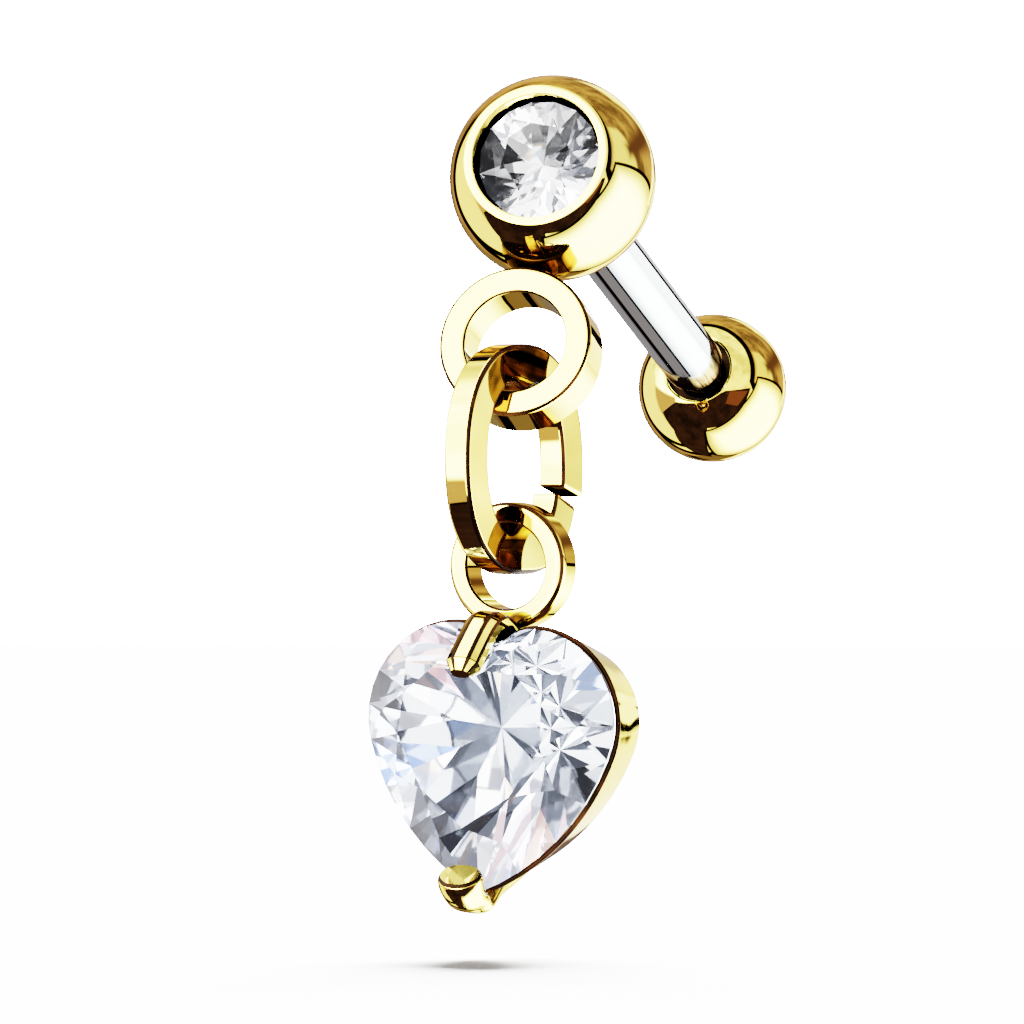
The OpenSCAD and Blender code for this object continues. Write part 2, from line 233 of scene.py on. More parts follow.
# Floor: a white table top a little below the jewel, lit by a soft lamp above and behind.
# It shows only the drop's soft shadow.
lamp_data = bpy.data.lights.new("overhead_lamp", "SUN")
lamp_data.energy = 80
lamp_data.angle = math.radians(29)
lamp = bpy.data.objects.new("overhead_lamp", lamp_data)
bpy.context.scene.collection.objects.link(lamp)
lamp.rotation_mode = "QUATERNION"
lamp.rotation_quaternion = bearing(175, 31).to_track_quat("Z", "Y")
lamp.visible_glossy = False
lamp.visible_transmission = False
floor_height, floor_reach = -12.95, 600
floor_mesh = bpy.data.meshes.new("table_top")
floor_mesh.from_pydata([(x * floor_reach * metres, y * floor_reach * metres, floor_height * metres)
                        for x, y in ((-1, -1), (1, -1), (1, 1), (-1, 1))], [], [(0, 1, 2, 3)])
floor = bpy.data.objects.new("table_top", floor_mesh)
bpy.context.scene.collection.objects.link(floor)
floor.visible_glossy = False
floor.visible_transmission = False


def fresh_paint(name):
    """A new paint, with its nodes and its main shader."""
    paint = bpy.data.materials.new(name)
    paint.use_nodes = True
    return paint, paint.node_tree, paint.node_tree.nodes["Principled BSDF"]


white_table, tree, lacquer = fresh_paint("white_table")
lacquer.inputs["Base Color"].default_value = (0.8, 0.8, 0.8, 1)
lacquer.inputs["Roughness"].default_value = 0.9
lacquer.inputs["Specular IOR Level"].default_value = 0
floor_mesh.materials.append(white_table)

# Front ball: a gold-plated steel ball turned on a lathe, with a flat rim round a stone seat
# and a hole for the post. It is pressed on the post's front end.
bar_pitch = math.radians(17)
front_ball_radius = 2.0
front_ball_at = 7.0
rim_radius, seat_radius = 1.41, 1.25
rim_at = front_ball_at + math.sqrt(front_ball_radius ** 2 - rim_radius ** 2)
seat_depth, seat_floor_at, seat_floor_radius = 0.41, rim_at - 1.5, 0.25
post_hole_radius, post_hole_end = 0.62, front_ball_at - 0.7
bore_line = 0.05


def on_bar(point):
    """From the post's own lathe axis, gem end up, to the worn position."""
    x, y, z = point
    return (x, y * math.sin(bar_pitch) - z * math.cos(bar_pitch),
            y * math.cos(bar_pitch) + z * math.sin(bar_pitch))


def arc(centre_r, centre_z, radius, start, end, count):
    """Points of a lathe profile from one angle to another, measured from the radial direction."""
    angles = np.radians(np.linspace(start, end, count))
    return [(centre_r + radius * math.cos(a), centre_z + radius * math.sin(a), 0) for a in angles]


def eased(corners, steps=6, closed=True):
    """Rounds each corner of an outline by the length given with it."""
    count = len(corners)
    out = []
    for i, (x, y, ease) in enumerate(corners):
        if not ease or (not closed and i in (0, count - 1)):
            out.append((x, y))
            continue
        here = np.array((x, y))
        before = np.array(corners[i - 1][:2]) - here
        after = np.array(corners[(i + 1) % count][:2]) - here
        start = here + before / np.linalg.norm(before) * ease
        end = here + after / np.linalg.norm(after) * ease
        for t in np.linspace(0, 1, steps + 1):
            out.append(tuple((1 - t) ** 2 * start + 2 * t * (1 - t) * here + t * t * end))
    return out


def skinned(name, rows, body, loop_rows=True, loop_points=True, caps=False, lines=(), hoops=()):
    """A mesh skinned over rows of points, shaded with the true normals of the smooth surface.
    The strips numbered in lines, and those between rows numbered in hoops, take the second material."""
    grid = np.array(rows, float)
    count, across = grid.shape[:2]

    def step(axis, wrap):
        if wrap:
            return np.roll(grid, -1, axis) - np.roll(grid, 1, axis)
        return np.gradient(grid, axis=axis)

    normals = np.cross(step(0, loop_rows), step(1, loop_points))
    normals /= np.maximum(np.linalg.norm(normals, axis=-1, keepdims=True), 1e-12)
    points = grid.reshape(-1, 3)
    faces = []
    for i in range(count if loop_rows else count - 1):
        for j in range(across if loop_points else across - 1):
            a, b = i * across + j, i * across + (j + 1) % across
            c, d = ((i + 1) % count) * across + (j + 1) % across, ((i + 1) % count) * across + j
            faces.append((a, d, c, b))
    flat = normals.reshape(-1, 3)
    if caps:
        # each end closes on its own flat face, with its own vertices so that its edge stays crisp
        for row, order in ((0, 1), (count - 1, -1)):
            ring = grid[row]
            facing = np.cross(ring - ring.mean(0), np.roll(ring, -1, 0) - ring.mean(0)).sum(0)
            facing *= -order / np.linalg.norm(facing)
            base = len(points)
            points = np.vstack([points, ring])
            flat = np.vstack([flat, np.tile(facing, (across, 1))])
            faces.append(tuple(range(base, base + across))[::order])
    corners = np.array([points[list(f)[:3]] for f in faces])
    volume = np.einsum("ij,ij->i", corners[:, 0], np.cross(corners[:, 1], corners[:, 2])).sum()
    if volume < 0:
        faces = [f[::-1] for f in faces]
    mesh = bpy.data.meshes.new(name)
    mesh.from_pydata([tuple(p * metres) for p in points], [], faces)
    mesh.shade_smooth()
    strips = across if loop_points else across - 1
    body_faces = (count if loop_rows else count - 1) * strips
    second_paint = [int(i < body_faces and (i % strips in lines or i // strips in hoops))
                    for i in range(len(faces))]
    mesh.polygons.foreach_set("material_index", second_paint)
    mesh.update()
    # the normals follow the faces, whichever way the rows ran
    vertex_normals = np.array([v.normal for v in mesh.vertices])
    turn = np.sign((vertex_normals * flat).sum(1))
    turn[turn == 0] = 1
    mesh.normals_split_custom_set_from_vertices([tuple(v) for v in flat * turn[:, None]])
    made = bpy.data.objects.new(name, mesh)
    bpy.context.scene.collection.objects.link(made)
    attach(made, body)
    return made


def lathed(name, profile, body, place, segments=256, lines=()):
    """Turns a closed lathe profile round its axis."""
    rows = []
    for a in np.linspace(0, 2 * math.pi, segments, endpoint=False):
        rows.append([place((r * math.cos(a), r * math.sin(a), z)) for r, z in profile])
    return skinned(name, rows, body, lines=lines)


def polished_gold(name, grain, wave, edge=0.78):
    """Mirror-polished gold plating, a little wavy from the buffing wheel. A larger grain is finer,
    wave is the height of the ripples in metres, painted shade darkens it from edge on as it turns away, and
    gold seen in gold is painted brown."""
    paint, tree, metal = fresh_paint(name)
    metal.inputs["Metallic"].default_value = 1
    metal.inputs["Specular Tint"].default_value = (1.0, 0.9, 0.66, 1)
    where = joined(tree, "ShaderNodeTexCoord").outputs["Object"]
    cloud = joined(tree, "ShaderNodeTexNoise", where, None, grain * 350.0, 3.0, 0.55)
    tone = joined(tree, "ShaderNodeValToRGB", cloud.outputs["Fac"])
    tone.color_ramp.elements[0].position = 0.35
    tone.color_ramp.elements[0].color = (0.88, 0.60, 0.115, 1)
    tone.color_ramp.elements[1].position = 0.68
    tone.color_ramp.elements[1].color = (0.86, 0.65, 0.145, 1)
    # painted shade: the plating's colour is darkened where it turns away from the view, as dark outlines
    turned = joined(tree, "ShaderNodeLayerWeight", 0.5).outputs["Facing"]
    shade = joined(tree, "ShaderNodeMapRange", turned, edge, 0.97, 1.0, 0.10).outputs[0]
    shaded = blended(tree, 1.0, tone.outputs[0], shade, "MULTIPLY")
    # painted shade: gold seen in gold, on reflected rays, is painted brown with darker streaks instead of
    # its own colour
    again = joined(tree, "ShaderNodeLightPath").outputs["Glossy Depth"]
    depth = joined(tree, "ShaderNodeMapRange", again, 0.0, 1.0).outputs[0]
    streak = joined(tree, "ShaderNodeTexNoise", where, None, grain * 1500.0, 2.0, 0.5).outputs["Fac"]
    streak = joined(tree, "ShaderNodeMapRange", streak, 0.42, 0.58).outputs[0]
    brown = blended(tree, streak, (0.03, 0.016, 0.009), (0.26, 0.14, 0.05))
    tree.links.new(blended(tree, depth, shaded, brown), metal.inputs["Base Color"])
    marks = joined(tree, "ShaderNodeTexNoise", where, None, grain * 4200.0, 4.0, 0.6)
    dullness = joined(tree, "ShaderNodeMapRange", marks.outputs["Fac"], 0.3, 0.8, 0.02, 0.05)
    tree.links.new(dullness.outputs[0], metal.inputs["Roughness"])
    waves = joined(tree, "ShaderNodeTexNoise", where, None, grain * 420.0, 1.0, 0.4)
    relief = tree.nodes.new("ShaderNodeBump")
    relief.inputs["Strength"].default_value = 1.0
    relief.inputs["Distance"].default_value = wave
    tree.links.new(waves.outputs["Fac"], relief.inputs["Height"])
    tree.links.new(relief.outputs[0], metal.inputs["Normal"])
    return paint


def painted_shade(name, dark, pale, grain):
    """Painted shade: near-black metal with a little paler patches, laid along edges as dark outlines and in
    holes as their shade.
    """
    paint, tree, metal = fresh_paint(name)
    metal.inputs["Specular IOR Level"].default_value = 0.1
    metal.inputs["Specular Tint"].default_value = (1.0, 0.5, 0.25, 1)
    where = joined(tree, "ShaderNodeTexCoord").outputs["Object"]
    shade_noise = joined(tree, "ShaderNodeTexNoise", where, None, grain, 2.0, 0.5).outputs["Fac"]
    shade_blend = joined(tree, "ShaderNodeMapRange", shade_noise, 0.45, 0.62).outputs[0]
    tree.links.new(blended(tree, shade_blend, dark, pale), metal.inputs["Base Color"])
    dullness = joined(tree, "ShaderNodeMapRange", shade_noise, 0.3, 0.7, 0.2, 0.4)
    tree.links.new(dullness.outputs[0], metal.inputs["Roughness"])
    return paint


# painted shade: dark lines along edges, and the dark inside of holes
edge_shade = painted_shade("edge_shade", (0.0012, 0.0006, 0.0003), (0.035, 0.013, 0.004), 900.0)
hole_shade = painted_shade("hole_shade", (0.001, 0.0008, 0.0008), (0.01, 0.006, 0.004), 2500.0)
ball_gold = polished_gold("ball_gold", 1.0, 0.000012)
loop_gold = polished_gold("loop_gold", 1.0, 0.00005)
ball_profile = eased(
    [(rim_radius, rim_at, 0.035)]
    + arc(0, front_ball_at, front_ball_radius, 43, -70, 120)
    + [(post_hole_radius, front_ball_at - math.sqrt(front_ball_radius ** 2 - post_hole_radius ** 2), 0.03),
       (post_hole_radius, post_hole_end, 0.02), (bore_line, post_hole_end, 0.02),
       (bore_line, seat_floor_at, 0.02), (seat_floor_radius, seat_floor_at, 0.02),
       (seat_radius, rim_at - seat_depth, 0.01), (seat_radius, rim_at, 0.03)], steps=5)
front_ball = lathed("front_ball", ball_profile, "barbell", on_bar)
front_ball.data.materials.append(ball_gold)
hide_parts("gem_ball")

# Loop under the front ball: a flat ring cut from gold-plated tube, soldered on with a bead of solder.
# The jump link hangs from it.
loop_outer, loop_inner, loop_half_width = 1.5, 1.0, 0.55
loop_roll = math.radians(-6)
loop_drop = front_ball_radius + loop_outer - 0.01
bead_foot = 2.26


def on_loop(point):
    """From the loop's own lathe axis to the worn position, rolled a little round the post."""
    x, y, z = point
    y -= loop_drop
    return on_bar((x * math.cos(loop_roll) - y * math.sin(loop_roll),
                   x * math.sin(loop_roll) + y * math.cos(loop_roll), z + front_ball_at))


def corner_strips(corners, parts, steps=6):
    """The numbers of the strips in the eased corners of an outline."""
    return [(steps + 1) * corner + part for corner in corners for part in parts]


loop_profile = eased([(loop_outer, -loop_half_width, 0.09), (loop_outer, loop_half_width, 0.09),
                      (loop_inner, loop_half_width, 0.07), (loop_inner, -loop_half_width, 0.07)])
# the rounds of its section's corners are painted dark, as painted shade and dark outlines along its edges
ball_loop = lathed("ball_loop", loop_profile, "barbell", on_loop, lines=corner_strips(range(4), (2, 3, 4)))
ball_loop.data.materials.append(loop_gold)
ball_loop.data.materials.append(edge_shade)


def on_bead(point):
    """From the bead's own lathe axis, which points up at the front ball, to the worn position."""
    x, y, z = point
    return on_loop((x, z + loop_drop - bead_foot, y))


bead_profile = [(0.02, 0.66), (0.42, 0.62), (0.37, 0.50), (0.33, 0.36),
                (0.33, 0.24), (0.37, 0.12), (0.44, 0.02), (0.02, -0.02)]
solder_bead = lathed("solder_bead", bead_profile, "barbell", on_bead, segments=64)
solder_bead.data.materials.append(ball_gold)

# Round stone: a brilliant with 8 mains, cut and polished from clear cubic zirconia.
# It is glued in the front ball's seat, with its girdle just below the rim.
girdle_at = rim_at - 0.36
stone_radius, stone_table, stone_crown, stone_pavilion, stone_girdle = 1.2, 0.56, 0.33, 0.98, 0.03
stone_turn = math.radians(12)
star_reach, lower_reach = 0.80, 0.30


def cut_stone(name, points, facets, body, place):
    """A stone with flat facets. Each facet is its painted reflection tone, or None for a clear one,
    and its polygons, which look one way."""
    made_points = np.array([place(p) for p in points]) * metres
    polygons, facet_tones, looks = [], [], []
    for facet_tone, parts in facets:
        ways = []
        for part in parts:
            first, second, third = (made_points[part[i]] for i in (0, 1, -1))
            ways.append(np.cross(second - first, third - first))
        way = sum(ways) / np.linalg.norm(sum(ways))
        for part in parts:
            polygons.append(part)
            facet_tones.append(facet_tone)
            looks += [tuple(way)] * len(part)
    mesh = bpy.data.meshes.new(name)
    mesh.from_pydata([tuple(p) for p in made_points], [], polygons)
    mesh.shade_smooth()
    mesh.polygons.foreach_set("material_index", [int(facet_tone is not None) for facet_tone in facet_tones])
    shade = mesh.color_attributes.new("facet_tones", "FLOAT_COLOR", "CORNER")
    for polygon, facet_tone in zip(mesh.polygons, facet_tones):
        for corner in polygon.loop_indices:
            shade.data[corner].color = (*(facet_tone or (1, 1, 1)), 1)
    mesh.normals_split_custom_set(looks)
    mesh.update()
    made = bpy.data.objects.new(name, mesh)
    bpy.context.scene.collection.objects.link(made)
    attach(made, body)
    return made


def clear_crystal(name, bend):
    """Cut clear stone, with the faint haze of its last polish."""
    paint, tree, crystal = fresh_paint(name)
    crystal.inputs["Transmission Weight"].default_value = 1
    crystal.inputs["IOR"].default_value = bend
    # its surface mirrors only from the inside, where the light can't leave
    inside = joined(tree, "ShaderNodeNewGeometry").outputs["Backfacing"]
    mirrored = joined(tree, "ShaderNodeFresnel", bend).outputs[0]
    mirrored = joined(tree, "ShaderNodeMapRange", mirrored, 0.97, 1.0).outputs[0]
    shine = joined(tree, "ShaderNodeMath", inside, mirrored, operation="MULTIPLY").outputs[0]
    tree.links.new(blended(tree, shine, (0, 0, 0), (0.07, 0.07, 0.07)), crystal.inputs["Specular Tint"])
    where = joined(tree, "ShaderNodeTexCoord").outputs["Object"]
    haze = joined(tree, "ShaderNodeTexNoise", where, None, 900.0, 2.0, 0.5).outputs["Fac"]
    tree.links.new(blended(tree, haze, (0.965, 0.98, 1.0), (1.0, 1.0, 1.0)), crystal.inputs["Base Color"])
    dullness = joined(tree, "ShaderNodeMapRange", haze, 0.3, 0.7, 0.0, 0.012).outputs[0]
    tree.links.new(dullness, crystal.inputs["Roughness"])
    return paint


def painted_pavilion(name, dull, glow):
    """The facets under a stone, which throw the light back up, each its own share, painted as its own tone;
    inside they also give off a painted glow. They look paler from outside."""
    paint, tree, mirror = fresh_paint(name)
    mirror.inputs["Metallic"].default_value = 1
    facet_tone = joined(tree, "ShaderNodeAttribute", attribute_name="facet_tones").outputs["Color"]
    where = joined(tree, "ShaderNodeTexCoord").outputs["Object"]
    cloud = joined(tree, "ShaderNodeTexNoise", where, None, 1200.0, 2.0, 0.5).outputs["Fac"]
    cloud = joined(tree, "ShaderNodeMapRange", cloud, 0.3, 0.7, 0.8, 1.0).outputs[0]
    outside = joined(tree, "ShaderNodeGamma", facet_tone, 0.4).outputs[0]
    inside = joined(tree, "ShaderNodeNewGeometry").outputs["Backfacing"]
    deep = joined(tree, "ShaderNodeGamma", facet_tone, 1.6).outputs[0]
    base = blended(tree, inside, outside, deep)
    tree.links.new(blended(tree, 1.0, base, cloud, "MULTIPLY"), mirror.inputs["Base Color"])
    # painted light: the facets glow evenly from inside, standing in for light that has wandered about in the
    # stone
    painted_glow = blended(tree, 1.0, deep, glow, "MULTIPLY")
    painted_glow = blended(tree, 1.0, painted_glow, (0.04, 0.04, 0.045), "ADD")
    tree.links.new(blended(tree, inside, (0, 0, 0), painted_glow), mirror.inputs["Emission Color"])
    mirror.inputs["Emission Strength"].default_value = 0.6
    paint.cycles.emission_sampling = "NONE"
    dullness = joined(tree, "ShaderNodeMapRange", cloud, 0.8, 1.0, dull, dull * 1.3).outputs[0]
    tree.links.new(dullness, mirror.inputs["Roughness"])
    return paint


# painted shade: the round stone's girdle facets are painted near black
girdle_tone = (0.0006, 0.0006, 0.0007)


def brilliant(radius, table, crown, pavilion, girdle, turn, mains_tones, lower_tones):
    """Points and facets of a round brilliant whose girdle plane is z = 0. The points run in rings:
    the table, the stars, the top and the low edge of the girdle, the lower facets, and the culet."""
    mains = len(mains_tones)
    edge = 2 * mains
    pitch = 2 * math.pi / mains
    slope = crown / (1 - table)

    def ring(reach, height, offset, count=mains):
        angles = [turn + (i + offset) * 2 * math.pi / count for i in range(count)]
        return [(radius * reach * math.cos(a), radius * reach * math.sin(a), height) for a in angles]

    star_z = girdle + slope * (1 - star_reach * math.cos(pitch / 2))
    lower_z = -girdle - pavilion * (1 - lower_reach * math.cos(pitch / 2))
    points = ring(table, girdle + crown, 0) + ring(star_reach, star_z, 0.5)
    points += ring(1, girdle, 0, edge) + ring(1, -girdle, 0, edge)
    points += ring(lower_reach, lower_z, 0.5) + [(0, 0, -girdle - pavilion)]
    star, top, low = mains, 2 * mains, 2 * mains + edge
    lower, culet = low + edge, low + edge + mains
    facets = [(None, [tuple(range(mains))])]
    for i in range(mains):
        after, before = (i + 1) % mains, (i - 1) % mains
        here, middle, there = 2 * i, 2 * i + 1, (2 * i + 2) % edge
        facets += [(None, [(i, star + i, after)]),
                   (None, [(i, star + before, top + here, star + i)]),
                   (None, [(star + i, top + here, top + middle)]),
                   (None, [(star + i, top + middle, top + there)]),
                   (lower_tones[here], [(lower + i, low + middle, low + here)]),
                   (lower_tones[middle], [(lower + i, low + there, low + middle)]),
                   (mains_tones[i], [(culet, lower + i, low + here, lower + before)])]
    for i in range(edge):
        after = (i + 1) % edge
        facets.append((girdle_tone, [(top + i, low + i, low + after, top + after)]))
    return points, facets


def greys(*levels, blue=0.0):
    """Painted reflection tone of each facet in turn, a little bluer the darker it is."""
    return [tuple(level * (1 - blue * share * (1 - level)) for share in (1.0, 0.6, 0.0)) for level in levels]


def in_seat(point):
    """From the stone's girdle plane to its place in the front ball."""
    x, y, z = point
    return on_bar((x, y, z + girdle_at))


# painted reflections: each facet under the round stone is painted its own tone, pale or dark
round_mains = greys(0.22, 0.32, 0.50, 1.0, 0.65, 0.45, 1.0, 0.35)
round_lower = greys(0.05, 0.3, 1.0, 0.3, 0.7, 1.0, 0.12, 0.08, 0.04, 0.06, 0.6, 1.0, 0.3, 1.0, 0.3, 0.05)
points, facets = brilliant(stone_radius, stone_table, stone_crown, stone_pavilion, stone_girdle,
                           stone_turn, round_mains, round_lower)
round_stone = cut_stone("round_stone", points, facets, "barbell", in_seat)
round_stone.data.materials.append(clear_crystal("round_crystal", 2.0))
round_stone.data.materials.append(painted_pavilion("round_pavilion_paint", 0.03, (1.0, 1.0, 1.0)))
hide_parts("gem_stone")

# Post: a polished surgical steel rod, turned down at the back end to a neck that screws into the back ball.
# Fine marks of the polishing run along it near its shoulder.
post_radius, neck_radius, post_front = 0.6, 0.44, 6.2
marks_from, marks_full = -3.5 * metres, -4.5 * metres
back_ball_at, back_ball_radius, socket_radius = -6.5, 1.5, 0.66
socket_at = back_ball_at + math.sqrt(back_ball_radius ** 2 - socket_radius ** 2)
shoulder_at = socket_at + 0.35
neck_end = socket_at - 1.6
post_profile = eased(
    [(0.01, post_front, 0), (post_radius, post_front, 0.03)]
    + [(post_radius, z, 0) for z in np.linspace(post_front - 0.7, shoulder_at + 0.3, 12)]
    + [(post_radius, shoulder_at, 0.05), (neck_radius, shoulder_at, 0.02),
       (neck_radius, neck_end, 0.05), (0.01, neck_end, 0)], steps=6)
steel_post = lathed("steel_post", post_profile, "barbell", on_bar, segments=160)
steel, tree, metal = fresh_paint("polished_steel")
metal.inputs["Metallic"].default_value = 1
where = joined(tree, "ShaderNodeTexCoord").outputs["Object"]
scuff = joined(tree, "ShaderNodeTexNoise", where, None, 6000.0, 5.0, 0.6)
bright = blended(tree, scuff.outputs["Fac"], (0.74, 0.90, 0.92), (0.80, 0.93, 0.96))
# the polishing marks
rod_way = (0, -math.cos(bar_pitch), math.sin(bar_pitch))
distance = joined(tree, "ShaderNodeVectorMath", where, rod_way, operation="DOT_PRODUCT").outputs["Value"]
near_shoulder = joined(tree, "ShaderNodeMapRange", distance, marks_from, marks_full).outputs[0]
squeeze = joined(tree, "ShaderNodeMath", distance, 0.95, operation="MULTIPLY").outputs[0]
squeezed = joined(tree, "ShaderNodeVectorMath", rod_way, None, None, squeeze, operation="SCALE").outputs[0]
across = joined(tree, "ShaderNodeVectorMath", where, squeezed, operation="SUBTRACT").outputs[0]
marks = joined(tree, "ShaderNodeTexNoise", across, None, 14000.0, 2.0, 0.6).outputs["Fac"]
marks = joined(tree, "ShaderNodeMapRange", marks, 0.42, 0.58).outputs[0]
marks = joined(tree, "ShaderNodeMath", marks, near_shoulder, operation="MULTIPLY").outputs[0]
tree.links.new(blended(tree, marks, bright, (0.02, 0.022, 0.024)), metal.inputs["Base Color"])
dullness = joined(tree, "ShaderNodeMapRange", scuff.outputs["Fac"], 0.35, 0.75, 0.02, 0.06)
tree.links.new(dullness.outputs[0], metal.inputs["Roughness"])
steel_post.data.materials.append(steel)
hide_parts("post")

# Back ball: a plain gold-plated steel ball turned on a lathe, with a countersunk socket and a bore.
# It screws on the post's neck, and comes off when the barbell is put in.
lip_radius, bore_radius, back_pole_radius = 0.73, 0.49, 0.012
socket_floor, bore_end = socket_at - 0.45, socket_at - 1.7
back_ball_profile = eased(
    [(back_pole_radius, back_ball_at - back_ball_radius, 0)]
    + arc(0, back_ball_at, back_ball_radius, -89, 61, 140)[1:]
    + [(lip_radius, back_ball_at + math.sqrt(back_ball_radius ** 2 - lip_radius ** 2), 0.02),
       (socket_radius, socket_at - 0.05, 0.02),
       (socket_radius, socket_floor, 0.03), (bore_radius, socket_floor, 0.01),
       (bore_radius, bore_end, 0.02), (back_pole_radius, bore_end, 0)], steps=5)
# the strips of the profile that line the socket and the bore, painted dark as the shade inside them
socket_lining = range(149, 170)
back_ball = lathed("screw_ball", back_ball_profile, "back", on_bar, lines=socket_lining)
back_ball.data.materials.append(ball_gold)
back_ball.data.materials.append(hole_shade)
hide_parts("back_ball")

# Jump link: square gold-plated wire bent to an oval and closed, with its cut on the rear arm.
# It hangs in the ball's loop and carries the heart by its ring.
link_centre = (-0.424, -8.101, -3.39)
link_width, link_height, wire_across, wire_through = 3.7, 4.44, 0.68, 0.6
link_power, link_cut, link_gap, link_spring = 2.3, 71.0, 2.6, 0.13
link_turn = math.radians(68)
top_swell, bottom_swell, swell_reach = 0.34, 0.50, 13


def link_point(angle, inset, side):
    """A point of the wire, by its angle round the oval, how far in it lies and how far to one side."""
    a = math.radians(angle)
    # the wire is a little thicker inside the top and bottom of the oval, where it was bent tightest
    inset *= 1 + top_swell * math.exp(-((angle % 360 - 180) / swell_reach) ** 2)
    inset *= 1 + bottom_swell * math.exp(-(((angle + 180) % 360 - 180) / swell_reach) ** 2)
    x = (link_width / 2 - inset) * math.copysign(abs(math.sin(a)) ** (2 / link_power), math.sin(a))
    z = -(link_height / 2 - inset) * math.copysign(abs(math.cos(a)) ** (2 / link_power), math.cos(a))
    return (link_centre[0] + x * math.cos(link_turn) - side * math.sin(link_turn),
            link_centre[1] + x * math.sin(link_turn) + side * math.cos(link_turn), link_centre[2] + z)


wire = eased([(0, -wire_through / 2, 0.09), (wire_across, -wire_through / 2, 0.08),
              (wire_across, wire_through / 2, 0.08), (0, wire_through / 2, 0.09)], steps=6)
link_rows = []
sweep = 360 - 2 * link_gap
# the ends at the cut are rounded over: degrees from the end, and how much the wire shrinks there
ends = [(0.0, 0.14), (0.15, 0.08), (0.5, 0.04), (1.1, 0.012), (1.9, 0.0)]
stations = ends + [(angle, 0.0) for angle in np.linspace(3.0, sweep - 3.0, 300)]
stations += [(sweep - angle, shrink) for angle, shrink in ends[::-1]]
for along_sweep, shrink in stations:
    t = along_sweep / sweep
    out = link_spring / 2 * (2 * t - 1) ** 5
    link_rows.append([link_point(link_cut + link_gap + along_sweep,
                                 wire_across / 2 + (inset - wire_across / 2) * (1 - shrink),
                                 side * (1 - shrink) + out) for inset, side in wire])
# the rounds of the wire's corners are painted dark, as painted shade and dark outlines along its edges
jump_link = skinned("oval_link", link_rows, "link", loop_rows=False, caps=True,
                    lines=corner_strips(range(4), (1, 2, 3, 4)))
link_gold = polished_gold("link_gold", 1.3, 0.00004)
jump_link.data.materials.append(link_gold)
jump_link.data.materials.append(edge_shade)
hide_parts("jump_link")

# Heart setting: a band of gold-plated metal bent to the heart's outline, tapering to the back.
# The stone sits on its bevelled front edge.
heart_centre = (-0.68, -8.61, -8.4)
heart_turn, heart_lean = math.radians(-11), math.radians(4.5)
heart_frame = (Matrix.Rotation(heart_turn, 3, "Z") @ Matrix.Rotation(math.radians(90), 3, "X")
               @ Matrix.Rotation(-heart_lean, 3, "Z"))


def in_heart(point):
    """From the heart's own plane, with its front towards +z, to its hanging position."""
    return tuple(heart_frame @ Vector(point) + Vector(heart_centre))


lobe_x, lobe_radius, side_radius, tip_y = 0.80, 1.82, 4.59, -3.33
cleft_radius, cleft_fillet = 0.85, 0.32
cleft_lobe_y = lobe_radius - cleft_radius
cleft_y = cleft_lobe_y + math.sqrt((cleft_radius + cleft_fillet) ** 2 - lobe_x ** 2)
cleft_angle = math.degrees(math.atan2(cleft_y - cleft_lobe_y, -lobe_x))
tip_reach = math.hypot(lobe_x, tip_y)
side_along = ((side_radius - lobe_radius) ** 2 - side_radius ** 2 + tip_reach ** 2) / (2 * tip_reach)
side_off = math.sqrt((side_radius - lobe_radius) ** 2 - side_along ** 2)
side_x = lobe_x + (-lobe_x * side_along + tip_y * side_off) / tip_reach
side_y = (tip_y * side_along + lobe_x * side_off) / tip_reach
side_angle = math.degrees(math.atan2(-side_y, lobe_x - side_x))


def heart_outline(offset, fine=4):
    """The heart's outline moved outwards by the offset, from the cleft round by the right lobe."""
    tip_angle = -math.degrees(math.acos(-side_x / (side_radius + offset)))
    half = []
    for cx, cy, radius, start, end, count in (
            (0, cleft_y, cleft_fillet - offset, -90, cleft_angle - 180, 3 * fine),
            (lobe_x, cleft_lobe_y, cleft_radius + offset, cleft_angle, 90, 3 * fine),
            (lobe_x, 0, lobe_radius + offset, 90, side_angle, 10 * fine),
            (side_x, side_y, side_radius + offset, side_angle, tip_angle, 8 * fine)):
        for i in range(0 if not half else 1, count + 1):
            a = math.radians(start + (end - start) * i / count)
            half.append((cx + radius * math.cos(a), cy + radius * math.sin(a)))
    return half + [(-x, y) for x, y in half[-2:0:-1]]


# each corner of the band's section is how far out from the outline, how deep, and its easing
band_section = eased([(0.06, -0.03, 0.02), (0.03, 0.0, 0.015), (-0.03, 0.0, 0.02), (-0.28, -0.52, 0.03),
                      (-0.55, -1.7, 0.04), (-0.33, -1.7, 0.02), (-0.30, -1.67, 0.02)], steps=4)
band_rows = []
for offset, depth in band_section:
    band_rows.append([in_heart((x, y, depth)) for x, y in heart_outline(offset)])
# its front edge, under the stone, and its back edge are painted dark: painted shade between stone and band,
# and dark outlines
band_edges = [*range(1, 14), *range(30, 34)]
heart_band = skinned("heart_band", list(zip(*band_rows)), "drop", lines=band_edges)
heart_gold = polished_gold("heart_gold", 1.1, 0.00003, 0.9)
heart_gold.node_tree.nodes["Principled BSDF"].inputs["Specular Tint"].default_value = (1, 0.94, 0.55, 1)
heart_band.data.materials.append(heart_gold)
heart_band.data.materials.append(edge_shade)
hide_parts("heart_setting")

# Ring on the heart: a small flat ring of gold-plated metal, soldered in the cleft behind the top prong.
# The jump link passes through it.
ring_centre = (-0.08, 2.96, -0.55)
ring_outer, ring_inner, ring_half_width = 1.23, 0.83, 0.35


def on_ring(point):
    """From the ring's own lathe axis to its place on the heart."""
    return in_heart(tuple(a + b for a, b in zip(point, ring_centre)))


ring_profile = eased([(ring_outer, -ring_half_width, 0.16), (ring_outer, ring_half_width, 0.16),
                      (ring_inner, ring_half_width, 0.06), (ring_inner, -ring_half_width, 0.06)])
